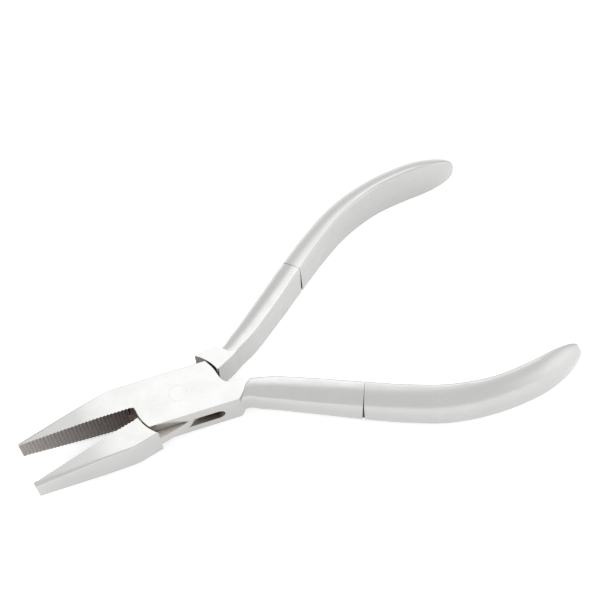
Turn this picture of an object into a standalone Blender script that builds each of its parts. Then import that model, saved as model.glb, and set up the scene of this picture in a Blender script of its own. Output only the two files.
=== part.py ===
"""Flat-nose crimping pliers with a box joint, serrated jaws and sleeved handles.

The frame's origin is on the pivot axis at the underside of the joint: X runs from the
jaws (-X) to the handles (+X), and Z is up through the joint's thickness.
The box half carries the slotted joint block, and the lap half passes through the slot.
Both halves are drawn in one closed frame as a jaw on the +Y side and a handle on the -Y
side. The lap half is that drawing mirrored in Y, and turned about the pivot to the open
position. Every length below is in millimetres until it becomes a vertex.
"""

import math

import bmesh
import bpy

MM = 0.001

# Driving dimensions
REST_OPENING = math.radians(15.3)   # jaws stand this far open in the rest pose
JAW_LENGTH = 36.75                  # pivot axis to jaw tip
JOINT_HALF_WIDTH = 6.03
JOINT_HALF_HEIGHT = 4.15
MID_HEIGHT = JOINT_HALF_HEIGHT      # height of the mid plane above the underside
TIP_HALF_HEIGHT = 2.7
BOX_TIP_Y = 0.95                    # outer side of each tip
LAP_TIP_Y = 1.25
GRIP_LINE = -0.18                   # the jaws meet this far off the pivot, towards the lap jaw
GRIP_GAP = 0.1                      # each row of tooth crests to that line
TOOTH_PITCH = 0.82
TOOTH_DEPTH = 0.3
TIP_LAND = 0.5                      # plain land between the tip and the first tooth

# Jaw shape
JAW_TAPER_END = -17.3               # the straight side of the jaw stops here
JAW_TAPER_Y = 5.43                  # this far out
JAW_SHOULDER = -12.3                # and has run into the side of the joint here
HEIGHT_TAPER_START = -15.5          # the jaw starts to thin towards the tip here
HEIGHT_TAPER_FULL = -23.0           # and thins at a steady slope from here
CROTCH_X = -10.6                    # the teeth end here

# Box joint
BOX_FRONT_RADIUS = 10.1             # the box half's front and rear shoulders
BOX_REAR_RADIUS = 9.6
LAP_FRONT_RADIUS = 10.35            # the lap half's front shoulder
LAP_REAR_RADIUS_SIDE = 9.9          # its rear shoulder at the side and at the crotch
LAP_REAR_RADIUS_CROTCH = 10.4
SLOT_TOP = 1.2                      # the slot's roof and floor from the mid plane
SLOT_FLOOR = -1.8
SLOT_END = 8.75
TONGUE_GAP = 0.2                    # tongue to roof and to floor
TONGUE_RADIUS = 7.6
TONGUE_RELIEF = 0.17                # slope of the tongue's sides past the pivot
TONGUE_CORNER = -1.8                # where those slopes start
NECK_GAP = 0.35
PIN_RADIUS = 2.0
PIN_HOLE_RADIUS = 2.25
ROUND_SIDES = 48                    # sides of a cylinder

# Handles
STRIP_SHARE = 0.16                  # flat strip along the top, as a share of the width
CROWN = 0.12                        # share of the height lost towards the outer side
UNDERSIDE_SQUARER = 1.6             # added to the squareness below the middle
EDGE_RADIUS = 0.5
SLEEVE_WALL = 0.9
TANG_INSET = 1.2
SEAM_GAP = 0.3
BORE_BEYOND_TANG = 1.0
SEAM = 5                            # the station where the sleeve starts
TANG_END = 8.5                      # and where the tang inside it ends
END_ZONE = 2.0                      # the end is rounded over this many stations
END_BLUNTNESS = 2.6
END_SHARE = 0.02                    # share of the section left at the very end
END_WIDTH_POWER = 0.8               # the width shrinks more slowly than the height
END_SHIFT = 0.3                     # share of the lost width taken off the inner side
STEPS = 3                           # rings between two stations
OVERSIZE = 2.0                      # cutters reach past the solid by this much

# Handle stations: inner side x, y, outer side x, y, half height, and squareness
STATIONS = [
    (12.3, -1.2, 11.8, -5.97, 4.0, 4.6),
    (15.7, -1.45, 14.5, -5.52, 4.03, 4.0),
    (19.0, -2.25, 17.3, -6.88, 4.15, 3.6),
    (22.9, -3.5, 21.0, -8.58, 4.25, 3.4),
    (31.5, -7.3, 29.5, -12.75, 4.5, 3.2),
    (40.0, -11.2, 37.8, -16.8, 4.95, 3.1),
    (48.9, -15.3, 47.1, -20.85, 5.3, 2.9),
    (57.6, -18.5, 56.4, -23.9, 5.65, 2.7),
    (67.0, -19.9, 66.8, -25.05, 5.9, 2.5),
    (76.0, -19.2, 76.8, -24.3, 6.0, 2.3),
    (83.0, -17.7, 84.4, -22.3, 5.9, 2.1),
    (88.9, -16.2, 90.5, -19.85, 5.7, 2.0),
]

STEEL = (0.78, 0.79, 0.80)
PIN_STEEL = (0.72, 0.73, 0.74)
SLEEVE_STEEL = (0.80, 0.81, 0.82)


def clear_scene():
    """Start from an empty scene."""
    for obj in list(bpy.data.objects):
        bpy.data.objects.remove(obj, do_unlink=True)


def new_collection(name):
    collection = bpy.data.collections.new(name)
    bpy.context.scene.collection.children.link(collection)
    return collection


def steel(name, colour, roughness):
    """Plain bright steel."""
    material = bpy.data.materials.new(name)
    material.use_nodes = True
    shader = material.node_tree.nodes["Principled BSDF"]
    shader.inputs["Base Color"].default_value = (*colour, 1.0)
    shader.inputs["Metallic"].default_value = 1.0
    shader.inputs["Roughness"].default_value = roughness
    return material


def arc(radius, start, end, count):
    """Points on a circle about the pivot axis, with the angles in degrees."""
    points = []
    for i in range(count + 1):
        angle = math.radians(start + (end - start) * i / count)
        points.append((radius * math.cos(angle), radius * math.sin(angle)))
    return points


def bezier(a, b, c, count):
    """Points on a quadratic curve from a to c that leaves and arrives towards b."""
    points = []
    for i in range(count + 1):
        t = i / count
        points.append(tuple(
            (1 - t) ** 2 * p + 2 * t * (1 - t) * q + t * t * r for p, q, r in zip(a, b, c)
        ))
    return points


def side_angle(radius):
    """Angle at which a circle about the pivot meets the side of the joint, in degrees."""
    return math.degrees(math.asin(JOINT_HALF_WIDTH / radius))


def teeth(phase, crest):
    """Zigzag gripping face from the crotch to the tip, with its crests at that Y."""
    points = []
    x = -JAW_LENGTH + TIP_LAND + phase * TOOTH_PITCH
    while x + TOOTH_PITCH < CROTCH_X:
        points.append((x, crest))
        points.append((x + TOOTH_PITCH / 2, crest + TOOTH_DEPTH))
        x += TOOTH_PITCH
    points.append((x, crest))
    return list(reversed(points))


def jaw_back(tip_y):
    """Outer side of a jaw, from its tip at that Y to the side of the joint."""
    slope = (JAW_TAPER_Y - tip_y) / (JAW_TAPER_END + JAW_LENGTH)
    taper_end = (JAW_TAPER_END, JAW_TAPER_Y)
    bend = (JAW_TAPER_END + (JOINT_HALF_WIDTH - JAW_TAPER_Y) / slope, JOINT_HALF_WIDTH)
    shoulder = (JAW_SHOULDER, JOINT_HALF_WIDTH)
    return [(-JAW_LENGTH, tip_y)] + bezier(taper_end, bend, shoulder, 6)


def flat_end():
    """Where the flat top of the joint stops on the handle, from its inner side outwards."""
    inner = (16.8, -1.8)
    middle = (14.5, -3.3)
    side = (12.4, -JOINT_HALF_WIDTH)
    return bezier(inner, (15.2, -2.2), middle, 4) + bezier(middle, (13.8, -4.6), side, 4)[1:]


def box_outline():
    """Plan of the box half's jaw, joint block and handle root."""
    front = side_angle(BOX_FRONT_RADIUS)
    rear = side_angle(BOX_REAR_RADIUS)
    crest = GRIP_LINE + GRIP_GAP
    outline = [(-JAW_LENGTH, crest)] + jaw_back(BOX_TIP_Y)
    outline += arc(BOX_REAR_RADIUS, rear, 12.0, 9)
    outline += bezier(outline[-1], (10.2, -0.9), (11.9, -1.0), 6)[1:]
    outline += [(14.1, -1.15)]
    outline += flat_end()
    outline += arc(BOX_FRONT_RADIUS, 180.0 + front, 183.0, 10)
    outline += bezier(outline[-1], (-BOX_FRONT_RADIUS, crest), (CROTCH_X, crest), 4)[1:-1]
    outline += teeth(0.0, crest)
    return outline


def lap_outline():
    """Plan of the lap half's jaw, tongue and handle root."""
    lean = math.atan(TONGUE_RELIEF)
    off_pivot = (JOINT_HALF_WIDTH + TONGUE_RELIEF * TONGUE_CORNER) * math.cos(lean)
    relief_angle = 90.0 - math.degrees(lean + math.acos(off_pivot / TONGUE_RADIUS))
    neck = math.degrees(math.asin(NECK_GAP / TONGUE_RADIUS))
    crest = -GRIP_LINE + GRIP_GAP
    outline = [(-JAW_LENGTH, crest)] + jaw_back(LAP_TIP_Y)
    outline += [(TONGUE_CORNER, JOINT_HALF_WIDTH)]
    outline += arc(TONGUE_RADIUS, relief_angle, -neck, 5)
    outline += [(LAP_REAR_RADIUS_CROTCH, -NECK_GAP), (10.7, -0.1), (14.1, -0.85)]
    outline += flat_end()
    outline += [(-TONGUE_CORNER, -JOINT_HALF_WIDTH)]
    outline += arc(TONGUE_RADIUS, 180.0 + relief_angle, 180.0 - neck, 5)
    outline += [(-LAP_FRONT_RADIUS, NECK_GAP), (-LAP_FRONT_RADIUS, crest)]
    outline += teeth(0.5, crest)
    return outline


def cheek_pocket():
    """Plan of the room for the box half's cheeks, above and below the lap half's tongue."""
    side = side_angle(LAP_REAR_RADIUS_SIDE)
    points = arc(LAP_FRONT_RADIUS, 130.0, 180.0, 14)
    points += [(-11.5, -NECK_GAP), (-11.5, -9.0), (6.0, -9.0)]
    grow = (LAP_REAR_RADIUS_CROTCH - LAP_REAR_RADIUS_SIDE) / side
    count = 12
    for i in range(count + 1):
        angle = -side - 8.0 + (side + 8.0) * i / count
        radius = LAP_REAR_RADIUS_SIDE + grow * max(0.0, angle + side)
        points += arc(radius, angle, angle, 1)[:1]
    points += [(10.6, 1.0), (10.6, 9.0), (-6.0, 9.0)]
    return points


def thickness_outline():
    """Side view of a half: level at the joint, thinning to the tip."""
    slope = 2 * (JOINT_HALF_HEIGHT - TIP_HALF_HEIGHT) / (
        2 * JAW_LENGTH + HEIGHT_TAPER_START + HEIGHT_TAPER_FULL
    )
    blend_drop = slope * (HEIGHT_TAPER_START - HEIGHT_TAPER_FULL) / 2
    beyond = -JAW_LENGTH - OVERSIZE
    top = [(30.0, JOINT_HALF_HEIGHT)]
    top += bezier(
        (HEIGHT_TAPER_START, JOINT_HALF_HEIGHT),
        ((HEIGHT_TAPER_START + HEIGHT_TAPER_FULL) / 2, JOINT_HALF_HEIGHT),
        (HEIGHT_TAPER_FULL, JOINT_HALF_HEIGHT - blend_drop),
        6,
    )
    top += [(beyond, TIP_HALF_HEIGHT - slope * OVERSIZE)]
    return top + [(x, -z) for x, z in reversed(top)]


def slot_outline(end, start):
    """Side view of the slot: square at its open end, round at its closed end."""
    centre = (SLOT_TOP + SLOT_FLOOR) / 2
    radius = (SLOT_TOP - SLOT_FLOOR) / 2
    direction = math.copysign(1.0, end)
    points = [(start, SLOT_FLOOR), (start, SLOT_TOP)]
    count = 10
    for i in range(count + 1):
        angle = math.pi / 2 - math.pi * i / count
        x = end - direction * radius * (1 - math.cos(angle))
        points.append((x, centre + radius * math.sin(angle)))
    return points


def to_mesh_object(source, collection):
    """Replace a curve object by the mesh it makes, with its caps welded on."""
    bpy.context.view_layer.update()
    evaluated = source.evaluated_get(bpy.context.evaluated_depsgraph_get())
    mesh = bpy.data.meshes.new_from_object(evaluated)
    bm = bmesh.new()
    bm.from_mesh(mesh)
    bmesh.ops.remove_doubles(bm, verts=bm.verts, dist=0.00001)
    bmesh.ops.recalc_face_normals(bm, faces=bm.faces)
    bm.to_mesh(mesh)
    bm.free()
    name = source.name
    matrix = source.matrix_world.copy()
    curve = source.data
    bpy.data.objects.remove(source, do_unlink=True)
    bpy.data.curves.remove(curve)
    obj = bpy.data.objects.new(name, mesh)
    obj.matrix_world = matrix
    collection.objects.link(obj)
    return obj


def plate(name, outline, low, high, collection, side=1, upright=False):
    """Solid with a flat outline in X-Y between two heights, or in X-Z between two Y."""
    curve = bpy.data.curves.new(name, "CURVE")
    curve.dimensions = "2D"
    curve.fill_mode = "BOTH"
    curve.extrude = (high - low) / 2 * MM
    spline = curve.splines.new("POLY")
    spline.points.add(len(outline) - 1)
    for point, (x, y) in zip(spline.points, outline):
        point.co = (x * MM, side * y * MM, 0.0, 1.0)
    spline.use_cyclic_u = True
    obj = bpy.data.objects.new(name, curve)
    collection.objects.link(obj)
    middle = (low + high) / 2
    if upright:
        obj.rotation_euler.x = math.pi / 2
        obj.location = (0.0, middle * MM, MID_HEIGHT * MM)
    else:
        obj.location.z = (MID_HEIGHT + middle) * MM
    return to_mesh_object(obj, collection)


def station(t):
    """Handle station at parameter t: a smooth curve through the listed stations."""
    last = len(STATIONS) - 1
    i = min(int(t), last - 1)
    u = t - i
    a, b, c, d = (STATIONS[min(max(k, 0), last)] for k in (i - 1, i, i + 1, i + 2))
    return [
        q + 0.5 * u * (r - p + u * (2 * p - 5 * q + 4 * r - s + u * (3 * (q - r) + s - p)))
        for p, q, r, s in zip(a, b, c, d)
    ]


def section(t, inset, side):
    """Ring of points round the handle at parameter t, moved inwards by the inset."""
    x0, y0, x1, y1, half_height, power = station(t)
    full_width = math.hypot(x1 - x0, y1 - y0)
    direction = ((x1 - x0) / full_width, (y1 - y0) / full_width)
    towards_end = max(0.0, (t - (len(STATIONS) - 1 - END_ZONE)) / END_ZONE)
    fall = math.sqrt(max(0.0, 1.0 - min(1.0, towards_end) ** END_BLUNTNESS))
    left = max(fall, END_SHARE)
    half_height = half_height * left - inset
    width = full_width * left ** END_WIDTH_POWER - 2 * inset
    shift = END_SHIFT * full_width * (1 - left ** END_WIDTH_POWER)
    edge = min(EDGE_RADIUS, half_height / 2, width / 4)
    strip = STRIP_SHARE * width
    points = []
    for i in range(4):
        angle = math.pi / 2 * i / 3
        points.append((edge * (1 - math.cos(angle)), half_height - edge * (1 - math.sin(angle))))
    count = 12
    for i in range(count + 1):
        angle = math.pi / 2 - math.pi * i / count
        squareness = power if angle > 0 else power + UNDERSIDE_SQUARER
        across = abs(math.cos(angle)) ** (2 / squareness)
        up = math.copysign(abs(math.sin(angle)) ** (2 / squareness), angle)
        height = half_height * (1 - CROWN * across)
        points.append((strip + (width - strip) * across, height * up))
    for i in range(4):
        angle = math.pi / 2 * (1 - i / 3)
        points.append((edge * (1 - math.cos(angle)), -half_height + edge * (1 - math.sin(angle))))
    ring = []
    for across, up in points:
        reach = inset + shift + across
        x = x0 + direction[0] * reach
        y = y0 + direction[1] * reach
        ring.append((x * MM, side * y * MM, (MID_HEIGHT + up) * MM))
    return ring


def parameters(start, end):
    """Evenly spaced parameters from start to end, about STEPS to a station."""
    count = max(1, round((end - start) * STEPS))
    return [start + (end - start) * i / count for i in range(count + 1)]


def loft(name, rings, collection):
    """Closed solid through a row of rings, capped at both ends."""
    bm = bmesh.new()
    rows = [[bm.verts.new(point) for point in ring] for ring in rings]
    for near, far in zip(rows, rows[1:]):
        for i in range(len(near)):
            j = (i + 1) % len(near)
            bm.faces.new((near[i], near[j], far[j], far[i]))
    bm.faces.new(rows[0])
    bm.faces.new(rows[-1])
    bmesh.ops.recalc_face_normals(bm, faces=bm.faces)
    mesh = bpy.data.meshes.new(name)
    bm.to_mesh(mesh)
    bm.free()
    obj = bpy.data.objects.new(name, mesh)
    collection.objects.link(obj)
    return obj


def seam_shift(millimetres):
    """How far a length along the handle moves its parameter at the seam."""
    before = station(SEAM - 0.5)
    after = station(SEAM + 0.5)
    return millimetres / math.hypot(after[0] - before[0], after[1] - before[1])


def handle(name, side, collection):
    """Front of the handle with its shoulder at the seam, and the tang behind it."""
    rings = [section(t, 0.0, side) for t in parameters(0.0, SEAM)]
    rings += [section(t, TANG_INSET, side) for t in parameters(SEAM, TANG_END)]
    return loft(name, rings, collection)


def sleeve(name, side, collection):
    """Hollow grip sleeve: outer skin to the end, and the blind bore back out."""
    start = SEAM + seam_shift(SEAM_GAP)
    last = len(STATIONS) - 1
    bore_end = TANG_END + seam_shift(BORE_BEYOND_TANG)
    rings = [section(t, 0.0, side) for t in parameters(start, last - END_ZONE)]
    count = 12
    for i in range(1, count + 1):
        angle = math.pi / 2 * i / count
        rings.append(section(last - END_ZONE * (1 - math.sin(angle)), 0.0, side))
    bore = [section(t, SLEEVE_WALL, side) for t in parameters(start, bore_end)]
    return loft(name, list(reversed(rings)) + bore, collection)


def cylinder(name, radius, low, high, collection):
    """Upright cylinder on the pivot axis."""
    bpy.ops.mesh.primitive_cylinder_add(
        vertices=ROUND_SIDES,
        radius=radius * MM,
        depth=(high - low) * MM,
        location=(0.0, 0.0, (MID_HEIGHT + (low + high) / 2) * MM),
        rotation=(0.0, 0.0, math.pi / ROUND_SIDES),
    )
    obj = bpy.context.object
    obj.name = name
    for owner in list(obj.users_collection):
        owner.objects.unlink(obj)
    collection.objects.link(obj)
    return obj


def as_guide(obj):
    """Mark an object as a cutter or an operand: not part of the model itself."""
    obj.hide_render = True
    obj.display_type = "WIRE"
    return obj


def combine(target, operand, operation):
    """Boolean the operand into the target."""
    modifier = target.modifiers.new(operand.name, "BOOLEAN")
    modifier.operation = operation
    modifier.object = as_guide(operand)
    modifier.solver = "EXACT"


def finish(obj, material):
    """Give a part its material, and round shading with crisp edges."""
    obj.data.materials.clear()
    obj.data.materials.append(material)
    obj.data.shade_smooth()
    obj.data.set_sharp_from_angle(angle=math.radians(30.0))


def build_box_half(parts, guides):
    """Slotted joint block with the upper jaw and the lower handle."""
    tall = JOINT_HALF_HEIGHT + OVERSIZE
    wide = JOINT_HALF_WIDTH + OVERSIZE
    body = plate("box_half", box_outline(), -tall, tall, parts)
    thickness = plate("box_thickness", thickness_outline(), -wide, wide, guides, upright=True)
    combine(body, thickness, "INTERSECT")
    near_slot = slot_outline(SLOT_END, -12.0)
    far_slot = slot_outline(-SLOT_END, 12.0)
    combine(body, plate("near_slot", near_slot, -wide, 0.05, guides, upright=True), "DIFFERENCE")
    combine(body, plate("far_slot", far_slot, 0.0, wide, guides, upright=True), "DIFFERENCE")
    combine(body, cylinder("box_pin_hole", PIN_HOLE_RADIUS, -tall, tall, guides), "DIFFERENCE")
    combine(body, handle("box_handle", 1, guides), "UNION")
    return body


def build_lap_half(parts, guides):
    """Lower jaw, tongue through the slot, and upper handle, drawn closed."""
    tall = JOINT_HALF_HEIGHT + OVERSIZE
    wide = JOINT_HALF_WIDTH + OVERSIZE
    body = plate("lap_half", lap_outline(), -tall, tall, parts, side=-1)
    thickness = plate("lap_thickness", thickness_outline(), -wide, wide, guides, upright=True)
    combine(body, thickness, "INTERSECT")
    pocket = cheek_pocket()
    above = plate("room_above", pocket, SLOT_TOP - TONGUE_GAP, tall, guides, side=-1)
    below = plate("room_below", pocket, -tall, SLOT_FLOOR + TONGUE_GAP, guides, side=-1)
    combine(body, above, "DIFFERENCE")
    combine(body, below, "DIFFERENCE")
    hole = cylinder("lap_pin_hole", PIN_HOLE_RADIUS, -tall, tall, guides)
    combine(body, hole, "DIFFERENCE")
    grip = handle("lap_handle", -1, guides)
    combine(body, grip, "UNION")
    return [body, thickness, above, below, hole, grip]


def main():
    clear_scene()
    parts = new_collection("crimping_pliers")
    guides = new_collection("cutters")
    body_steel = steel("satin_steel", STEEL, 0.28)
    pin_steel = steel("pin_steel", PIN_STEEL, 0.3)
    sleeve_steel = steel("sleeve_steel", SLEEVE_STEEL, 0.32)

    finish(build_box_half(parts, guides), body_steel)
    pin = cylinder("pivot_pin", PIN_RADIUS, -JOINT_HALF_HEIGHT, JOINT_HALF_HEIGHT, parts)
    finish(pin, pin_steel)
    finish(sleeve("box_grip_sleeve", 1, parts), sleeve_steel)

    pivot = bpy.data.objects.new("lap_pivot", None)
    parts.objects.link(pivot)
    lap = build_lap_half(parts, guides)
    finish(lap[0], body_steel)
    lap_sleeve = sleeve("lap_grip_sleeve", -1, parts)
    finish(lap_sleeve, sleeve_steel)
    for obj in lap + [lap_sleeve]:
        obj.parent = pivot
    pivot.rotation_euler.z = REST_OPENING


main()
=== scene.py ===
"""Looks of the flat-nose crimping pliers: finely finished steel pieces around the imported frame.

Each half is drawn closed, as a jaw on the +Y side and a handle on the -Y side, and the
passing half is that drawing mirrored in Y and turned open about the pivot. Lengths are in
millimetres until they become a vertex, and heights are from the joint's mid plane.
"""

import math

import bmesh
import bpy
from mathutils import Matrix, Vector


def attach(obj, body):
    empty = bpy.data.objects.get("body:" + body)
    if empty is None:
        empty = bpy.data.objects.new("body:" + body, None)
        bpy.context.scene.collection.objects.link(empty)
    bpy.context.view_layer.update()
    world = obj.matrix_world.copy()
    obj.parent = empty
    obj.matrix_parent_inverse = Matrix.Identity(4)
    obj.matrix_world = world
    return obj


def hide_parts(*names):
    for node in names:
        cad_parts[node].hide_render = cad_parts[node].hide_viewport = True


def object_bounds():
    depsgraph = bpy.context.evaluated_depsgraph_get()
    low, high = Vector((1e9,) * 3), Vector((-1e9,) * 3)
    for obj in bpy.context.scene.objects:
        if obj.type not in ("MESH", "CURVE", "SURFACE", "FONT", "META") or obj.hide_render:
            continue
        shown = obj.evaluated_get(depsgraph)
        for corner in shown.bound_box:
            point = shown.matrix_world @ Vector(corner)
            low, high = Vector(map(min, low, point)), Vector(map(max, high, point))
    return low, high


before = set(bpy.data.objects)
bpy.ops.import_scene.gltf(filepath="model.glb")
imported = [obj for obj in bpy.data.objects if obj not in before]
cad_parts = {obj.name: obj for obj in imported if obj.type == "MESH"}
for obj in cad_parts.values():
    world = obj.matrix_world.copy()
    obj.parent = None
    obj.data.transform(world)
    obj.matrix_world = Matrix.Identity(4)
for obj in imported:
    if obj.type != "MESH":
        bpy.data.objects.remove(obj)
cad_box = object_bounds()

MM = 0.001

# The tool, as in the CAD
REST_OPENING = math.radians(15.3)
JAW_LENGTH = 36.7
JOINT_HALF_WIDTH = 6.0
JOINT_HALF_HEIGHT = 4.15
MID_HEIGHT = JOINT_HALF_HEIGHT
TIP_HALF_HEIGHT = 2.7
BOX_TIP_Y = 0.95                    # outer side of each tip
LAP_TIP_Y = 1.25
GRIP_LINE = -0.18                   # the jaws meet this far off the pivot, towards the lap jaw
GRIP_GAP = 0.04                     # tooth crests to that line
TOOTH_PITCH = 0.82
TOOTH_DEPTH = 0.2
TIP_LAND = 0.5
JAW_TAPER_END = -17.3
JAW_SHOULDER = -12.3
JAW_TAPER_Y = 5.4
HEIGHT_TAPER_START = -15.5
HEIGHT_TAPER_FULL = -23.0
CROTCH_X = -10.6
BOX_FRONT_RADIUS = 10.1
BOX_REAR_RADIUS = 9.8
LAP_FRONT_RADIUS = 10.35
LAP_REAR_RADIUS_SIDE = 9.92
LAP_REAR_RADIUS_CROTCH = 10.4
SLOT_TOP = 1.2
SLOT_FLOOR = -1.8
SLOT_END = 8.85
TONGUE_GAP = 0.1
TONGUE_RADIUS = 7.6
TONGUE_RELIEF = 0.17                # slope of the tongue's sides past the pivot
TONGUE_CORNER = -1.8                # where those slopes start
NECK_GAP = 0.35
PIN_RADIUS = 2.0
PIN_GAP = 0.01
SLEEVE_WALL = 0.9
TANG_INSET = 1.2
SEAM = 5.0
TANG_END = 8.5
SEAM_GAP = 0.03
SEAM_LEAN = 0.035                   # each edge of the seam leans away this much down its side
COLLAR_LEAN_SHARE = 0.9             # share of that lean on the tang's collar
BORE_BEYOND_TANG = 0.1              # the bore runs on past the tang by this many stations
SLOT_OPEN_END = 12.0                # the slot's two cutters begin this far from the pivot
SLOT_OVERLAP = 0.05                 # and overlap by this much at the middle

# Room round the tongue, cut generously where the halves can't meet
POCKET_FRONT = 11.5
POCKET_REAR = 10.6
POCKET_REAR_INNER = 1.0
POCKET_SIDE = 9.0
POCKET_HALF_LENGTH = 6.0
POCKET_EXTRA_DEGREES = 8.0

# Finish
FINE_BEVEL = 0.12                   # broken edge on the joint, jaws and slots
SHORT_EDGE = 0.2                    # edges ending on one shorter than this stay sharp
BLEND_AT_SHOULDER = 0.25            # rounding of a jaw's outer edges back from the shoulder
UPPER_BLEND_AT_TIP = 1.2            # and at the tip, above and below
LOWER_BLEND_AT_TIP = 0.3
BLEND_POWER = 1.5                   # above 1, the rounding grows faster near the tip
BLEND_PAST_TIP = 0.6
BOX_BLEND_START = 9.0               # X where the rounding cutters of each half begin
LAP_BLEND_START = -7.0
SEAM_ROUND = 0.12                   # rounding of the two edges at the sleeve's seam
ROUND_ALL_SIDES = 0.15              # share of that rounding on the inner side
ROUND_OUTER_SIDE = 0.85             # and the rest, which only the outer side gets
PIN_RIM = 0.02                      # broken edge of the rivet
GROOVE_DEPTH = 0.35                 # the seam is this deep before it meets the tang's collar
OVERSIZE = 2.0                      # cutters reach past the solid by this much
CUTTER_LIFT = 0.004                 # keeps a rounding cutter off the faces it runs along
BEVEL_ANGLE = 28.0                  # edges sharper than this many degrees are broken
HALF_SHARP_ANGLE = 32.0             # and sharper than these stay sharp in the shading
SLEEVE_SHARP_ANGLE = 40.0

# Which faces take the darker steels with painted shade
TOOTH_MARGIN = 0.05                 # points this far past the teeth count as on them
TEETH_REAR_MARGIN = 0.2             # and this far behind the last one
HOLE_MARGIN = 0.3                   # edges this near the rivet's hole stay sharp
SEAM_MARGIN = 0.02
SLOT_MARGIN = 0.25                  # beyond the slot's roof and floor
SIDE_MARGIN = 0.1                   # inside the joint's sides
LEVEL_NORMAL = 0.9                  # a face is level when its normal rises more than this
TOOTH_NORMAL = 0.3                  # and a tooth's when its normal crosses the jaw more than this
BOX_RECESS_REACH = 13.5             # distance from the pivot where each half's recesses end
LAP_RECESS_REACH = 10.4
CROTCH_REAR_X = -9.6                # the crotch between the jaws lies in this box
CROTCH_LOW_Y = -1.8
CROTCH_HIGH_Y = 0.4

# Colours and light
STEEL = (0.48, 0.479, 0.473)
STEEL_CLOUD = (0.467, 0.465, 0.458)
SLEEVE_STEEL = (0.485, 0.485, 0.479)
SLEEVE_CLOUD = (0.472, 0.472, 0.465)
# Painted shade on the teeth: dark towards the joint, where the crotch shades them
TOOTH_TIP_COLOUR = (0.28, 0.26, 0.25)
TOOTH_ROOT_PAINTED_SHADE = (0.036, 0.015, 0.007)
# Painted shade in the slot, on the tongue and in the crotch, lighter where the tongue stands
# clear
RECESS_PAINTED_SHADE = (0.2, 0.145, 0.11)
UNSHADED_TONGUE_COLOUR = (0.51, 0.472, 0.43)
# painted shade down in the sleeve's seam
SEAM_PAINTED_SHADE = (0.05, 0.046, 0.042)
SHADE_FADE_START = 4.4                   # distance from the middle where the tongue's painted shade starts to fade
SHADE_FADE_END = 6.8                    # and where it has faded to the lighter steel
DARK_SPECK = 0.6                    # brightness of the dark specks in the painted-shade steels
FLOOR_GLOW = 0.46
FLOOR_REACH = 2.5
ROOM_LIGHT = 1.15
# Brighter parts of the room: direction, extra light, and the degrees round the direction
# that are at full strength and where it has faded
BRIGHT_ZONES = [
    ((0.2, 0.55, 0.9), 0.93, 16.0, 27.0),
    ((0.85, -0.45, 0.25), 0.55, 12.0, 45.0),
]

# Handle stations: inner side x, y, outer side x, y, half height, squareness, inner edge radius
STATIONS = [
    (12.3, -1.2, 11.8, -5.95, 4.0, 4.6, 0.4),
    (15.7, -1.45, 14.5, -5.5, 4.03, 4.0, 0.4),
    (19.0, -2.25, 17.3, -6.85, 4.15, 3.6, 0.4),
    (22.9, -3.5, 21.0, -8.55, 4.25, 3.3, 0.4),
    (31.5, -7.3, 29.5, -12.7, 4.5, 3.1, 0.4),
    (40.0, -11.35, 37.8, -16.65, 4.95, 3.0, 0.45),
    (48.9, -15.38, 47.1, -20.75, 5.3, 2.8, 0.5),
    (57.6, -18.5, 56.4, -23.85, 5.65, 2.6, 0.55),
    (67.0, -19.9, 66.8, -24.95, 5.9, 2.5, 0.6),
    (76.0, -19.2, 76.8, -24.2, 6.0, 2.3, 0.6),
    (83.0, -17.7, 84.4, -22.2, 5.9, 2.1, 0.6),
    (88.6, -16.2, 90.2, -19.8, 5.7, 2.0, 0.6),
]
STRIP_SHARE = 0.12                  # flat share of the width beside the inner side
CROWN = 0.12                        # share of the height lost towards the outer side
UNDERSIDE_SQUARER = 1.6             # added to the squareness below the middle
END_ZONE = 2.0
END_BLUNTNESS = 2.6
END_SHARE = 0.02                    # share of the section left at the very end
END_WIDTH_POWER = 0.8               # the width shrinks more slowly than the height
END_SHIFT = 0.3                     # share of the lost width taken off the inner side
RINGS = 14                          # rings between two stations
AROUND = 40                         # points round the outer side of a ring
EDGE_POINTS = 8

# Camera: where it stands from the middle of the joint, and its three directions
CAMERA_PLACE = (-2.431, -139.884, 258.816)
CAMERA_RIGHT = (0.95027, -0.3069, -0.05283)
CAMERA_DOWN = (-0.28797, -0.80142, -0.52421)
CAMERA_FORWARD = (0.11855, 0.51336, -0.84995)
CAMERA_LENS = 77.89


# Outlines -------------------------------------------------------------------------------

def arc(radius, start, end, count):
    """Points on a circle about the pivot axis, with the angles in degrees."""
    points = []
    for i in range(count + 1):
        angle = math.radians(start + (end - start) * i / count)
        points.append((radius * math.cos(angle), radius * math.sin(angle)))
    return points


def bezier(a, b, c, count):
    """Points on a quadratic curve from a to c that leaves and arrives towards b."""
    points = []
    for i in range(count + 1):
        t = i / count
        points.append(tuple(
            (1 - t) ** 2 * p + 2 * t * (1 - t) * q + t * t * r for p, q, r in zip(a, b, c)
        ))
    return points


def side_angle(radius):
    """Angle at which a circle about the pivot meets the side of the joint, in degrees."""
    return math.degrees(math.asin(JOINT_HALF_WIDTH / radius))


def teeth(phase, crest):
    """Zigzag gripping face from the crotch to the tip, with its crests at that Y."""
    points = []
    x = -JAW_LENGTH + TIP_LAND + phase * TOOTH_PITCH
    while x + TOOTH_PITCH < CROTCH_X:
        points.append((x, crest))
        points.append((x + TOOTH_PITCH / 2, crest + TOOTH_DEPTH))
        x += TOOTH_PITCH
    points.append((x, crest))
    return list(reversed(points))


def jaw_slope(tip_y):
    """Slope of a jaw's outer side, whose tip is at that Y."""
    return (JAW_TAPER_Y - tip_y) / (JAW_TAPER_END + JAW_LENGTH)


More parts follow.
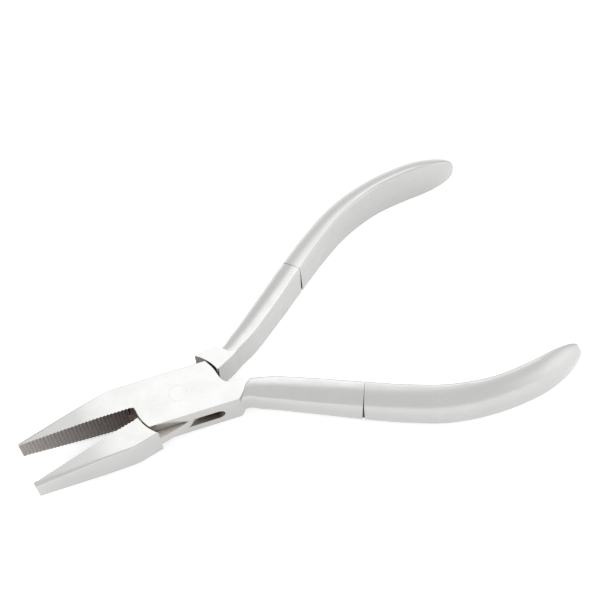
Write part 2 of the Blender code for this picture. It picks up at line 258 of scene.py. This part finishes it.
def jaw_back(tip_y, count):
    """Outer side of a jaw, from its tip at that Y to the side of the joint."""
    taper_end = (JAW_TAPER_END, JAW_TAPER_Y)
    rise = (JOINT_HALF_WIDTH - JAW_TAPER_Y) / jaw_slope(tip_y)
    bend = (JAW_TAPER_END + rise, JOINT_HALF_WIDTH)
    shoulder = (JAW_SHOULDER, JOINT_HALF_WIDTH)
    return [(-JAW_LENGTH, tip_y)] + bezier(taper_end, bend, shoulder, count)


def flat_end():
    """Where the flat top of the joint stops on the handle, from its inner side outwards."""
    inner = (16.8, -1.8)
    middle = (14.7, -3.3)
    side = (12.5, -JOINT_HALF_WIDTH)
    return bezier(inner, (15.3, -2.2), middle, 8) + bezier(middle, (14.0, -4.6), side, 8)[1:]


def box_outline():
    """Plan of the slotted half's jaw, joint block and handle root."""
    crest = GRIP_LINE + GRIP_GAP
    outline = [(-JAW_LENGTH, crest)] + jaw_back(BOX_TIP_Y, 16)
    outline += arc(BOX_REAR_RADIUS, side_angle(BOX_REAR_RADIUS), 12.0, 12)
    outline += bezier(outline[-1], (10.2, -0.9), (11.9, -1.0), 12)[1:]
    outline += [(14.1, -1.15)]
    outline += flat_end()
    outline += arc(BOX_FRONT_RADIUS, 180.0 + side_angle(BOX_FRONT_RADIUS), 184.0, 16)
    outline += bezier(outline[-1], (-BOX_FRONT_RADIUS, crest), (CROTCH_X, crest), 8)[1:-1]
    outline += teeth(0.0, crest)
    return outline


def lap_outline():
    """Plan of the passing half's jaw, tongue and handle root."""
    lean = math.atan(TONGUE_RELIEF)
    off_pivot = (JOINT_HALF_WIDTH + TONGUE_RELIEF * TONGUE_CORNER) * math.cos(lean)
    relief_angle = 90.0 - math.degrees(lean + math.acos(off_pivot / TONGUE_RADIUS))
    neck = math.degrees(math.asin(NECK_GAP / TONGUE_RADIUS))
    crest = -GRIP_LINE + GRIP_GAP
    outline = [(-JAW_LENGTH, crest)] + jaw_back(LAP_TIP_Y, 16)
    outline += [(TONGUE_CORNER, JOINT_HALF_WIDTH)]
    outline += arc(TONGUE_RADIUS, relief_angle, -neck, 10)
    outline += [(LAP_REAR_RADIUS_CROTCH, -NECK_GAP), (10.7, -0.1), (14.1, -0.85)]
    outline += flat_end()
    outline += [(-TONGUE_CORNER, -JOINT_HALF_WIDTH)]
    outline += arc(TONGUE_RADIUS, 180.0 + relief_angle, 180.0 - neck, 10)
    outline += [(-LAP_FRONT_RADIUS, NECK_GAP), (-LAP_FRONT_RADIUS, crest)]
    outline += teeth(0.5, crest)
    return outline


def cheek_pocket():
    """Plan of the room for the slotted half's cheeks, above and below the tongue."""
    side = side_angle(LAP_REAR_RADIUS_SIDE)
    points = arc(LAP_FRONT_RADIUS, 130.0, 180.0, 40)
    points += [(-POCKET_FRONT, -NECK_GAP), (-POCKET_FRONT, -POCKET_SIDE)]
    points += [(POCKET_HALF_LENGTH, -POCKET_SIDE)]
    grow = (LAP_REAR_RADIUS_CROTCH - LAP_REAR_RADIUS_SIDE) / side
    count = 30
    for i in range(count + 1):
        angle = -side - POCKET_EXTRA_DEGREES + (side + POCKET_EXTRA_DEGREES) * i / count
        radius = LAP_REAR_RADIUS_SIDE + grow * max(0.0, angle + side)
        points += arc(radius, angle, angle, 1)[:1]
    points += [(POCKET_REAR, POCKET_REAR_INNER), (POCKET_REAR, POCKET_SIDE)]
    points += [(-POCKET_HALF_LENGTH, POCKET_SIDE)]
    return points


def height_slope():
    """Slope of a jaw's upper face near the tip."""
    return 2 * (JOINT_HALF_HEIGHT - TIP_HALF_HEIGHT) / (
        2 * JAW_LENGTH + HEIGHT_TAPER_START + HEIGHT_TAPER_FULL
    )


def thickness_outline():
    """Side view of a half: level at the joint, thinning to the tip."""
    slope = height_slope()
    blend_drop = slope * (HEIGHT_TAPER_START - HEIGHT_TAPER_FULL) / 2
    top = [(30.0, JOINT_HALF_HEIGHT)]
    top += bezier(
        (HEIGHT_TAPER_START, JOINT_HALF_HEIGHT),
        ((HEIGHT_TAPER_START + HEIGHT_TAPER_FULL) / 2, JOINT_HALF_HEIGHT),
        (HEIGHT_TAPER_FULL, JOINT_HALF_HEIGHT - blend_drop),
        12,
    )
    top += [(-JAW_LENGTH - OVERSIZE, TIP_HALF_HEIGHT - slope * OVERSIZE)]
    return top + [(x, -z) for x, z in reversed(top)]


def slot_outline(end, start):
    """Side view of the slot: square at its open end, round at its closed end."""
    centre = (SLOT_TOP + SLOT_FLOOR) / 2
    radius = (SLOT_TOP - SLOT_FLOOR) / 2
    direction = math.copysign(1.0, end)
    points = [(start, SLOT_FLOOR), (start, SLOT_TOP)]
    count = 16
    for i in range(count + 1):
        angle = math.pi / 2 - math.pi * i / count
        x = end - direction * radius * (1 - math.cos(angle))
        points.append((x, centre + radius * math.sin(angle)))
    return points


# Solids ---------------------------------------------------------------------------------

def link_mesh(name, bm):
    """Close a bmesh into a new object of the scene."""
    bmesh.ops.recalc_face_normals(bm, faces=bm.faces)
    mesh = bpy.data.meshes.new(name)
    bm.to_mesh(mesh)
    bm.free()
    obj = bpy.data.objects.new(name, mesh)
    bpy.context.scene.collection.objects.link(obj)
    return obj


def plate(name, outline, low, high, side=1, upright=False):
    """Solid with a flat outline in X-Y between two heights, or in X-Z between two Y."""
    bm = bmesh.new()
    if upright:
        bottom = [bm.verts.new((x * MM, low * MM, z * MM)) for x, z in outline]
        top = [bm.verts.new((x * MM, high * MM, z * MM)) for x, z in outline]
    else:
        bottom = [bm.verts.new((x * MM, side * y * MM, low * MM)) for x, y in outline]
        top = [bm.verts.new((x * MM, side * y * MM, high * MM)) for x, y in outline]
    bm.faces.new(bottom)
    bm.faces.new(top)
    for i in range(len(outline)):
        j = (i + 1) % len(outline)
        bm.faces.new((bottom[i], bottom[j], top[j], top[i]))
    return link_mesh(name, bm)


def rod(name, radius, low, high):
    """Upright cylinder on the pivot axis."""
    return plate(name, arc(radius, 0.0, 360.0, 96)[:-1], low, high)


def station(t):
    """Handle station at parameter t: a smooth curve through the listed stations."""
    last = len(STATIONS) - 1
    i = min(int(t), last - 1)
    u = t - i
    a, b, c, d = (STATIONS[min(max(k, 0), last)] for k in (i - 1, i, i + 1, i + 2))
    return [
        q + 0.5 * u * (r - p + u * (2 * p - 5 * q + 4 * r - s + u * (3 * (q - r) + s - p)))
        for p, q, r, s in zip(a, b, c, d)
    ]


def ring(t, inset, side, outer_inset=0.0, lean=0.0):
    """Ring of points round the handle at parameter t, moved inwards by the insets.

    The lean moves its points towards the tail, more and more down the side.
    """
    x0, y0, x1, y1, half_height, power, edge = station(t)
    full_width = math.hypot(x1 - x0, y1 - y0)
    direction = ((x1 - x0) / full_width, (y1 - y0) / full_width)
    towards_end = max(0.0, (t - (len(STATIONS) - 1 - END_ZONE)) / END_ZONE)
    fall = math.sqrt(max(0.0, 1.0 - min(1.0, towards_end) ** END_BLUNTNESS))
    left = max(fall, END_SHARE)
    half_height = half_height * left - inset
    width = full_width * left ** END_WIDTH_POWER - 2 * inset
    shift = END_SHIFT * full_width * (1 - left ** END_WIDTH_POWER)
    edge = min(edge, half_height / 2, width / 4)
    strip = STRIP_SHARE * width
    points = []
    for i in range(EDGE_POINTS):
        angle = math.pi / 2 * i / (EDGE_POINTS - 1)
        points.append((edge * (1 - math.cos(angle)), half_height - edge * (1 - math.sin(angle))))
    for i in range(AROUND + 1):
        angle = math.pi / 2 - math.pi * i / AROUND
        squareness = power if angle > 0 else power + UNDERSIDE_SQUARER
        across = abs(math.cos(angle)) ** (2 / squareness)
        up = math.copysign(abs(math.sin(angle)) ** (2 / squareness), angle)
        pull = outer_inset * across
        height = (half_height - pull) * (1 - CROWN * across)
        points.append((strip + (width - strip) * across - pull, height * up))
    for i in range(EDGE_POINTS):
        angle = math.pi / 2 * (1 - i / (EDGE_POINTS - 1))
        points.append((edge * (1 - math.cos(angle)), -half_height + edge * (1 - math.sin(angle))))
    found = []
    for across, up in points:
        reach = inset + shift + across
        back = lean * (half_height - up)
        x = x0 + direction[0] * reach - direction[1] * back
        y = y0 + direction[1] * reach + direction[0] * back
        found.append(Vector((x * MM, side * y * MM, up * MM)))
    return found


def parameters(start, end):
    """Evenly spaced parameters from start to end."""
    count = max(1, round((end - start) * RINGS))
    return [start + (end - start) * i / count for i in range(count + 1)]


def seam_shift(millimetres):
    """How far a length along the handle moves its parameter at the seam."""
    before = station(SEAM - 0.5)
    after = station(SEAM + 0.5)
    return millimetres / math.hypot(after[0] - before[0], after[1] - before[1])


def rounded_end(edge, direction, side, lean=0.0):
    """Rings that round a handle's edge over at the seam, from the skin to the end face."""
    rings = []
    count = 5
    for i in range(count + 1):
        angle = math.pi / 2 * i / count
        along = SEAM_ROUND * (1 - math.sin(angle))
        drop = SEAM_ROUND * (1 - math.cos(angle))
        t = edge - direction * seam_shift(along)
        rings.append(ring(t, ROUND_ALL_SIDES * drop, side, ROUND_OUTER_SIDE * drop, lean))
    return rings


def loft(name, rings):
    """Closed solid through a row of rings, capped at both ends."""
    bm = bmesh.new()
    rows = [[bm.verts.new(point) for point in points] for points in rings]
    for near, far in zip(rows, rows[1:]):
        for i in range(len(near)):
            j = (i + 1) % len(near)
            bm.faces.new((near[i], near[j], far[j], far[i]))
    bm.faces.new(rows[0])
    bm.faces.new(rows[-1])
    return link_mesh(name, bm)


def handle(name, side):
    """Front of the handle with its shoulder at the seam, and the tang behind it."""
    front = SEAM - seam_shift(SEAM_ROUND)
    rings = [ring(t, 0.0, side) for t in parameters(0.0, front)][:-1]
    rings += rounded_end(SEAM, 1, side, -SEAM_LEAN)
    rings += [ring(SEAM, GROOVE_DEPTH, side, lean=-SEAM_LEAN)]
    collar = SEAM + seam_shift(SEAM_GAP / 2)
    collar_lean = COLLAR_LEAN_SHARE * SEAM_LEAN
    rings += [ring(collar, GROOVE_DEPTH, side, lean=collar_lean)]
    rings += [ring(collar, TANG_INSET, side, lean=collar_lean)]
    rings += [ring(t, TANG_INSET, side) for t in parameters(SEAM, TANG_END)[1:]]
    return loft(name, rings)


def sleeve(name, side):
    """Grip sleeve: rounded mouth, outer skin to the end, and the bore."""
    mouth = SEAM + seam_shift(SEAM_GAP)
    skin = mouth + seam_shift(SEAM_ROUND)
    last = len(STATIONS) - 1
    bore = parameters(mouth, TANG_END + BORE_BEYOND_TANG)
    rings = [ring(t, SLEEVE_WALL, side) for t in reversed(bore[1:])]
    rings += [ring(mouth, SLEEVE_WALL, side, lean=SEAM_LEAN)]
    rings += list(reversed(rounded_end(mouth, -1, side, SEAM_LEAN)))
    rings += [ring(t, 0.0, side) for t in parameters(skin, last - END_ZONE)[1:]]
    count = 48
    for i in range(1, count + 1):
        angle = math.pi / 2 * i / count
        rings.append(ring(last - END_ZONE * (1 - math.sin(angle)), 0.0, side))
    return loft(name, rings)


def evaluated(obj):
    """Replace an object's mesh by what its modifiers make of it."""
    graph = bpy.context.evaluated_depsgraph_get()
    mesh = bpy.data.meshes.new_from_object(obj.evaluated_get(graph))
    obj.modifiers.clear()
    obj.data = mesh
    return obj


def combine(target, operand, operation):
    """Boolean the operand into the target, and remove the operand."""
    modifier = target.modifiers.new(operand.name, "BOOLEAN")
    modifier.operation = operation
    modifier.object = operand
    modifier.solver = "EXACT"
    evaluated(target)
    bpy.data.objects.remove(operand, do_unlink=True)


def jaw_blend(name, side, up, tip_y, tip_radius, start):
    """Cutter that rounds an outer edge from that X forwards, and more towards the tip."""
    slope = height_slope()
    blend_drop = slope * (HEIGHT_TAPER_START - HEIGHT_TAPER_FULL) / 2
    run = HEIGHT_TAPER_START - HEIGHT_TAPER_FULL
    rings = []
    count = 24
    steps = 8
    for i in range(-1, count + 1):
        share = max(0, i) / count
        x = JAW_SHOULDER + (-JAW_LENGTH - BLEND_PAST_TIP - JAW_SHOULDER) * share
        if i < 0:
            x = start
        radius = BLEND_AT_SHOULDER + (tip_radius - BLEND_AT_SHOULDER) * share ** BLEND_POWER
        y = min(JOINT_HALF_WIDTH, tip_y + jaw_slope(tip_y) * (x + JAW_LENGTH))
        into = max(0.0, HEIGHT_TAPER_START - x)
        drop = blend_drop * (into / run) ** 2 if into < run else slope * (into - run / 2)
        z = JOINT_HALF_HEIGHT - drop
        section = [(OVERSIZE / 2, OVERSIZE / 2)]
        for k in range(steps + 1):
            angle = math.pi / 2 * k / steps
            section.append((
                radius * (math.sin(angle) - 1) + CUTTER_LIFT,
                radius * (math.cos(angle) - 1) + CUTTER_LIFT,
            ))
        rings.append([
            Vector((x * MM, side * (y + out) * MM, up * (z + rise) * MM)) for out, rise in section
        ])
    return loft(name, rings)


# Finishing ------------------------------------------------------------------------------

def in_teeth(x, y):
    """Whether a point of a half's drawing is on its teeth."""
    roots = abs(GRIP_LINE) + GRIP_GAP + TOOTH_DEPTH
    return x < CROTCH_X + TEETH_REAR_MARGIN and y < roots + TOOTH_MARGIN


def in_crotch(x, y):
    """Whether a point of a half's drawing is on the face where the jaws part."""
    return CROTCH_X - TOOTH_MARGIN < x < CROTCH_REAR_X and CROTCH_LOW_Y < y < CROTCH_HIGH_Y


def break_edges(obj, side):
    """Bevel the sharp edges, apart from the teeth and the rivet's hole."""
    bm = bmesh.new()
    bm.from_mesh(obj.data)
    bmesh.ops.remove_doubles(bm, verts=bm.verts, dist=0.000002)
    bmesh.ops.dissolve_limit(
        bm, angle_limit=math.radians(0.05), verts=bm.verts, edges=bm.edges
    )
    weight = bm.edges.layers.float.new("bevel_weight_edge")
    crowded = set()
    for edge in bm.edges:
        if edge.calc_length() < SHORT_EDGE * MM:
            crowded.update(edge.verts)
    hole = PIN_RADIUS + HOLE_MARGIN
    for edge in bm.edges:
        if len(edge.link_faces) != 2 or edge.calc_face_angle() < math.radians(BEVEL_ANGLE):
            continue
        places = [(v.co.x / MM, side * v.co.y / MM) for v in edge.verts]
        if all(in_teeth(x, y) or math.hypot(x, y) < hole for x, y in places):
            continue
        if min(x for x, y in places) < -JAW_LENGTH + TIP_LAND:
            continue
        if max(x for x, y in places) > station(SEAM - 1)[0]:
            continue
        if not crowded.intersection(edge.verts):
            edge[weight] = 1.0
    bm.to_mesh(obj.data)
    bm.free()
    modifier = obj.modifiers.new("broken edges", "BEVEL")
    modifier.limit_method = "WEIGHT"
    modifier.width = FINE_BEVEL * MM
    modifier.segments = 2
    modifier.use_clamp_overlap = False
    evaluated(obj)


def in_seam(point, side):
    """Whether a point of a half's drawing is on the end face at the seam, or beyond it."""
    x0, y0, x1, y1, half_height = station(SEAM)[:5]
    width = math.hypot(x1 - x0, y1 - y0)
    back = (x0 - point.x) * (y1 - y0) / width - (y0 - side * point.y) * (x1 - x0) / width
    return back > -SEAM_LEAN * (half_height - point.z) - SEAM_MARGIN


def paint_recesses(obj, side, reach):
    """Give the teeth, the slot or tongue and the crotch, and the seam the 2nd to 4th materials,
    which carry painted shade.
    """
    side_limit = JOINT_HALF_WIDTH - SIDE_MARGIN
    for face in obj.data.polygons:
        places = [obj.data.vertices[i].co / MM for i in face.vertices]
        above_floor = min(p.z for p in places) > SLOT_FLOOR - SLOT_MARGIN
        inside = above_floor and max(p.z for p in places) < SLOT_TOP + SLOT_MARGIN
        near = all(math.hypot(p.x, p.y) < reach and abs(p.y) < side_limit for p in places)
        level = abs(face.normal.z) > LEVEL_NORMAL
        crotch = all(in_crotch(p.x, side * p.y) for p in places)
        # slot, tongue and crotch: painted recess shade
        if inside and (near or level) or crotch and not level:
            face.material_index = 2
        # teeth: painted shade towards the joint
        elif abs(face.normal.y) > TOOTH_NORMAL and all(in_teeth(p.x, side * p.y) for p in places):
            face.material_index = 1
        # seam: painted shade
        elif all(in_seam(p, side) for p in places):
            face.material_index = 3


def smooth(obj, degrees):
    """Round shading that keeps the edges sharper than the angle."""
    obj.data.shade_smooth()
    obj.data.set_sharp_from_angle(angle=math.radians(degrees))
    modifier = obj.modifiers.new("flat faces stay flat", "WEIGHTED_NORMAL")
    modifier.keep_sharp = True
    modifier.weight = 50
    evaluated(obj)


def place(obj, body, node, materials, turned=False):
    """Move a piece from its drawing to the rest pose, and hand it to its body."""
    turn = Matrix.Rotation(REST_OPENING, 4, "Z") if turned else Matrix.Identity(4)
    obj.data.transform(Matrix.Translation((0.0, 0.0, MID_HEIGHT * MM)) @ turn)
    for material in materials:
        obj.data.materials.append(material)
    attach(obj, body)
    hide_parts(node)


# Pieces ---------------------------------------------------------------------------------

def build_box_half():
    """Slotted joint block with its jaw and its handle front."""
    tall = JOINT_HALF_HEIGHT + OVERSIZE
    wide = JOINT_HALF_WIDTH + OVERSIZE
    body = plate("slotted_half", box_outline(), -tall, tall)
    thickness = plate("box_thickness", thickness_outline(), -wide, wide, upright=True)
    combine(body, thickness, "INTERSECT")
    upper = jaw_blend("box_blend_up", 1, 1, BOX_TIP_Y, UPPER_BLEND_AT_TIP, BOX_BLEND_START)
    lower = jaw_blend("box_blend_down", 1, -1, BOX_TIP_Y, LOWER_BLEND_AT_TIP, BOX_BLEND_START)
    combine(body, upper, "DIFFERENCE")
    combine(body, lower, "DIFFERENCE")
    near_slot = slot_outline(SLOT_END, -SLOT_OPEN_END)
    far_slot = slot_outline(-SLOT_END, SLOT_OPEN_END)
    combine(body, plate("near", near_slot, -wide, SLOT_OVERLAP, upright=True), "DIFFERENCE")
    combine(body, plate("far", far_slot, 0.0, wide, upright=True), "DIFFERENCE")
    combine(body, rod("box_hole", PIN_RADIUS + PIN_GAP, -tall, tall), "DIFFERENCE")
    combine(body, handle("box_handle", 1), "UNION")
    break_edges(body, 1)
    paint_recesses(body, 1, BOX_RECESS_REACH)
    smooth(body, HALF_SHARP_ANGLE)
    return body


def build_lap_half():
    """Passing half: its jaw, the tongue through the slot, and its handle front."""
    tall = JOINT_HALF_HEIGHT + OVERSIZE
    wide = JOINT_HALF_WIDTH + OVERSIZE
    body = plate("passing_half", lap_outline(), -tall, tall, side=-1)
    thickness = plate("lap_thickness", thickness_outline(), -wide, wide, upright=True)
    combine(body, thickness, "INTERSECT")
    upper = jaw_blend("lap_blend_up", -1, 1, LAP_TIP_Y, UPPER_BLEND_AT_TIP, LAP_BLEND_START)
    lower = jaw_blend("lap_blend_down", -1, -1, LAP_TIP_Y, LOWER_BLEND_AT_TIP, LAP_BLEND_START)
    combine(body, upper, "DIFFERENCE")
    combine(body, lower, "DIFFERENCE")
    above = plate("above", cheek_pocket(), SLOT_TOP - TONGUE_GAP, tall, side=-1)
    below = plate("below", cheek_pocket(), -tall, SLOT_FLOOR + TONGUE_GAP, side=-1)
    combine(body, above, "DIFFERENCE")
    combine(body, below, "DIFFERENCE")
    combine(body, rod("lap_hole", PIN_RADIUS + PIN_GAP, -tall, tall), "DIFFERENCE")
    combine(body, handle("lap_handle", -1), "UNION")
    break_edges(body, -1)
    paint_recesses(body, -1, LAP_RECESS_REACH)
    smooth(body, HALF_SHARP_ANGLE)
    return body


def build_pin():
    """Rivet ground flush with the joint, with its rim just broken."""
    pin = rod("rivet", PIN_RADIUS, -JOINT_HALF_HEIGHT, JOINT_HALF_HEIGHT)
    modifier = pin.modifiers.new("rim", "BEVEL")
    modifier.limit_method = "ANGLE"
    modifier.width = PIN_RIM * MM
    modifier.segments = 2
    evaluated(pin)
    smooth(pin, HALF_SHARP_ANGLE)
    return pin


# Materials ------------------------------------------------------------------------------

def new_material(name, colour, roughness, metallic=1.0):
    """Plain material, and the shader node that makes it."""
    material = bpy.data.materials.new(name)
    material.use_nodes = True
    shader = material.node_tree.nodes["Principled BSDF"]
    shader.inputs["Base Color"].default_value = (*colour, 1.0)
    shader.inputs["Metallic"].default_value = metallic
    shader.inputs["Roughness"].default_value = roughness
    return material, shader


def add(material, kind, **values):
    """Add a node and set its unlinked inputs by name."""
    node = material.node_tree.nodes.new(kind)
    for name, value in values.items():
        node.inputs[name.replace("_", " ")].default_value = value
    return node


def noise(material, scale, detail):
    """Noise in the piece's own space. Three scales stretch it along an axis."""
    links = material.node_tree.links
    place_node = add(material, "ShaderNodeTexCoord")
    stretch = add(material, "ShaderNodeMapping", Scale=scale)
    links.new(place_node.outputs["Object"], stretch.inputs["Vector"])
    texture = add(material, "ShaderNodeTexNoise", Scale=1.0, Detail=detail, Roughness=0.6)
    links.new(stretch.outputs["Vector"], texture.inputs["Vector"])
    return texture.outputs["Fac"]


def ramp(material, source, low, high, start, end):
    """Map a value from one range to another."""
    node = add(material, "ShaderNodeMapRange", From_Min=low, From_Max=high,
               To_Min=start, To_Max=end)
    material.node_tree.links.new(source, node.inputs["Value"])
    return node.outputs["Result"]


def roughen(material, shader, fine, coarse, low, high):
    """Roughness between two values, from fine lines over soft clouds."""
    links = material.node_tree.links
    both = add(material, "ShaderNodeMath")
    both.operation = "MULTIPLY"
    links.new(fine, both.inputs[0])
    links.new(coarse, both.inputs[1])
    links.new(ramp(material, both.outputs["Value"], 0.12, 0.38, low, high),
              shader.inputs["Roughness"])


def emboss(material, shader, height, strength, depth):
    """Bump from a height."""
    bump = add(material, "ShaderNodeBump", Strength=strength, Distance=depth * MM)
    material.node_tree.links.new(height, bump.inputs["Height"])
    material.node_tree.links.new(bump.outputs["Normal"], shader.inputs["Normal"])


def tint(material, shader, amount, first, second):
    """Base colour between two colours, over whatever already colours the shader."""
    links = material.node_tree.links
    colour = shader.inputs["Base Color"]
    mix = material.node_tree.nodes.new("ShaderNodeMix")
    mix.data_type = "RGBA"
    ends = [socket for socket in mix.inputs if socket.type == "RGBA"]
    for socket, value in zip(ends, (first, second)):
        if value is not None:
            socket.default_value = (*value, 1.0)
        else:
            links.new(colour.links[0].from_socket, socket)
    links.new(amount, mix.inputs["Factor"])
    results = [socket for socket in mix.outputs if socket.type == "RGBA"]
    links.new(results[0], colour)


def polished_steel(name, light, dark, rough_low, rough_high, grain, strength):
    """Steel with fine polishing lines and faint clouding."""
    material, shader = new_material(name, light, rough_low)
    lines = noise(material, grain, 4.0)
    clouds = noise(material, (160.0, 160.0, 160.0), 3.0)
    roughen(material, shader, lines, clouds, rough_low, rough_high)
    tint(material, shader, ramp(material, clouds, 0.35, 0.65, 0.0, 1.0), light, dark)
    emboss(material, shader, lines, strength, 0.01)
    return material


def toothed_steel_painted_shade():
    """Gripping face: bright at the tip, darkened by painted shade towards the joint."""
    material, shader = new_material("toothed_steel_painted_shade", TOOTH_TIP_COLOUR, 0.35)
    links = material.node_tree.links
    place_node = add(material, "ShaderNodeTexCoord")
    away = material.node_tree.nodes.new("ShaderNodeVectorMath")
    away.operation = "LENGTH"
    links.new(place_node.outputs["Object"], away.inputs[0])
    painted_shade_towards_joint = ramp(material, away.outputs["Value"], JAW_LENGTH * MM, 11.0 * MM, 0.0, 1.0)
    specks = noise(material, (1500.0, 1500.0, 1500.0), 3.0)
    # painted shade: the teeth darken towards the joint
    tint(material, shader, painted_shade_towards_joint, TOOTH_TIP_COLOUR, TOOTH_ROOT_PAINTED_SHADE)
    links.new(ramp(material, specks, 0.3, 0.7, 0.28, 0.5), shader.inputs["Roughness"])
    emboss(material, shader, specks, 0.15, 0.02)
    return material


def recess_shade_steel():
    """Steel in the slot, tongue and crotch, dark with painted shade that fades to lighter steel
    where the tongue stands clear of the joint.
    """
    material, shader = new_material("recess_shade_steel", RECESS_PAINTED_SHADE, 0.45)
    specks = noise(material, (900.0, 900.0, 900.0), 4.0)
    darker = tuple(DARK_SPECK * c for c in RECESS_PAINTED_SHADE)
    tint(material, shader, ramp(material, specks, 0.35, 0.65, 0.0, 1.0), RECESS_PAINTED_SHADE, darker)
    place_node = add(material, "ShaderNodeTexCoord")
    axes = add(material, "ShaderNodeSeparateXYZ")
    outward = add(material, "ShaderNodeMath")
    outward.operation = "ABSOLUTE"
    material.node_tree.links.new(place_node.outputs["Object"], axes.inputs[0])
    material.node_tree.links.new(axes.outputs["Y"], outward.inputs[0])
    # painted shade: dark inside the joint, fading to lighter steel further out
    clear = ramp(material, outward.outputs[0], SHADE_FADE_START * MM, SHADE_FADE_END * MM, 0.0, 1.0)
    tint(material, shader, clear, None, UNSHADED_TONGUE_COLOUR)
    material.node_tree.links.new(
        ramp(material, specks, 0.3, 0.7, 0.38, 0.55), shader.inputs["Roughness"]
    )
    emboss(material, shader, specks, 0.2, 0.03)
    return material


def seam_shade_steel():
    """Unpolished steel down in the sleeve's seam, near-black with painted shade."""
    material, shader = new_material("seam_shade_steel", SEAM_PAINTED_SHADE, 0.5)
    specks = noise(material, (900.0, 900.0, 900.0), 4.0)
    darker = tuple(DARK_SPECK * c for c in SEAM_PAINTED_SHADE)
    tint(material, shader, ramp(material, specks, 0.35, 0.65, 0.0, 1.0), SEAM_PAINTED_SHADE, darker)
    emboss(material, shader, specks, 0.2, 0.03)
    return material


def floor_material():
    """Pale sheet lit a little from below, as on a light table."""
    material, shader = new_material("pale_sheet", (0.8, 0.8, 0.8), 0.8, metallic=0.0)
    shader.inputs["Emission Color"].default_value = (1.0, 1.0, 1.0, 1.0)
    shader.inputs["Emission Strength"].default_value = FLOOR_GLOW
    return material


# Stage ----------------------------------------------------------------------------------

def build_floor(height):
    """Pale sheet under the tool."""
    bm = bmesh.new()
    reach = FLOOR_REACH
    corners = [(-reach, -reach), (reach, -reach), (reach, reach), (-reach, reach)]
    bm.faces.new([bm.verts.new((x, y, height)) for x, y in corners])
    floor = link_mesh("floor", bm)
    floor.data.materials.append(floor_material())


def bright_zone(tree, looking, zone):
    """Extra light from one part of the room."""
    centre, extra, inner, outer = zone
    towards = tree.nodes.new("ShaderNodeVectorMath")
    towards.operation = "DOT_PRODUCT"
    towards.inputs[1].default_value = Vector(centre).normalized()
    fade = tree.nodes.new("ShaderNodeMapRange")
    fade.interpolation_type = "SMOOTHSTEP"
    fade.inputs["From Min"].default_value = math.cos(math.radians(outer))
    fade.inputs["From Max"].default_value = math.cos(math.radians(inner))
    fade.inputs["To Max"].default_value = extra
    tree.links.new(looking, towards.inputs[0])
    tree.links.new(towards.outputs["Value"], fade.inputs["Value"])
    return fade.outputs["Result"]


def build_lights():
    """Even white room with a soft bright zone above and behind the tool, and one beside it."""
    world = bpy.data.worlds.new("soft_room")
    world.use_nodes = True
    tree = world.node_tree
    background = tree.nodes["Background"]
    background.inputs["Color"].default_value = (1.0, 1.0, 1.0, 1.0)
    looking = tree.nodes.new("ShaderNodeTexCoord").outputs["Generated"]
    total = None
    for zone in BRIGHT_ZONES:
        both = tree.nodes.new("ShaderNodeMath")
        both.inputs[1].default_value = ROOM_LIGHT
        if total is not None:
            tree.links.new(total, both.inputs[1])
        tree.links.new(bright_zone(tree, looking, zone), both.inputs[0])
        total = both.outputs["Value"]
    tree.links.new(total, background.inputs["Strength"])
    bpy.context.scene.world = world


def build_camera():
    """Camera at the standing viewer's angle, looking down over the near handle."""
    right = Vector(CAMERA_RIGHT)
    down = Vector(CAMERA_DOWN)
    forward = Vector(CAMERA_FORWARD)
    x, y, height = CAMERA_PLACE
    location = Vector((x, y, height + MID_HEIGHT)) * MM
    data = bpy.data.cameras.new("camera")
    data.lens = CAMERA_LENS
    data.sensor_width = 36.0
    data.clip_start = 0.01
    camera = bpy.data.objects.new("camera", data)
    rows = Matrix((right, -down, -forward)).transposed()
    camera.matrix_world = Matrix.Translation(location) @ rows.to_4x4()
    bpy.context.scene.collection.objects.link(camera)
    bpy.context.scene.camera = camera


def main():
    """Build the five pieces around the frame, and the stage."""
    body_steel = polished_steel(
        "body_steel", STEEL, STEEL_CLOUD, 0.17, 0.27, (300.0, 6000.0, 3000.0), 0.06
    )
    sleeve_steel = polished_steel(
        "sleeve_steel", SLEEVE_STEEL, SLEEVE_CLOUD, 0.26, 0.34, (300.0, 6000.0, 3000.0), 0.03
    )
    half_steels = [body_steel, toothed_steel_painted_shade(), recess_shade_steel(), seam_shade_steel()]
    box_sleeve = sleeve("near_grip_sleeve", 1)
    lap_sleeve = sleeve("far_grip_sleeve", -1)
    smooth(box_sleeve, SLEEVE_SHARP_ANGLE)
    smooth(lap_sleeve, SLEEVE_SHARP_ANGLE)
    box_half = build_box_half()
    lap_half = build_lap_half()

    place(box_half, "slotted_half", "box_half", half_steels)
    place(build_pin(), "slotted_half", "pivot_pin", [body_steel])
    place(box_sleeve, "slotted_half", "box_grip_sleeve", [sleeve_steel])
    place(lap_half, "passing_half", "lap_half", half_steels, turned=True)
    place(lap_sleeve, "passing_half", "lap_grip_sleeve", [sleeve_steel],
          turned=True)

    build_floor(cad_box[0][2])
    build_lights()
    build_camera()
    bpy.context.scene.view_settings.view_transform = "Standard"


main()
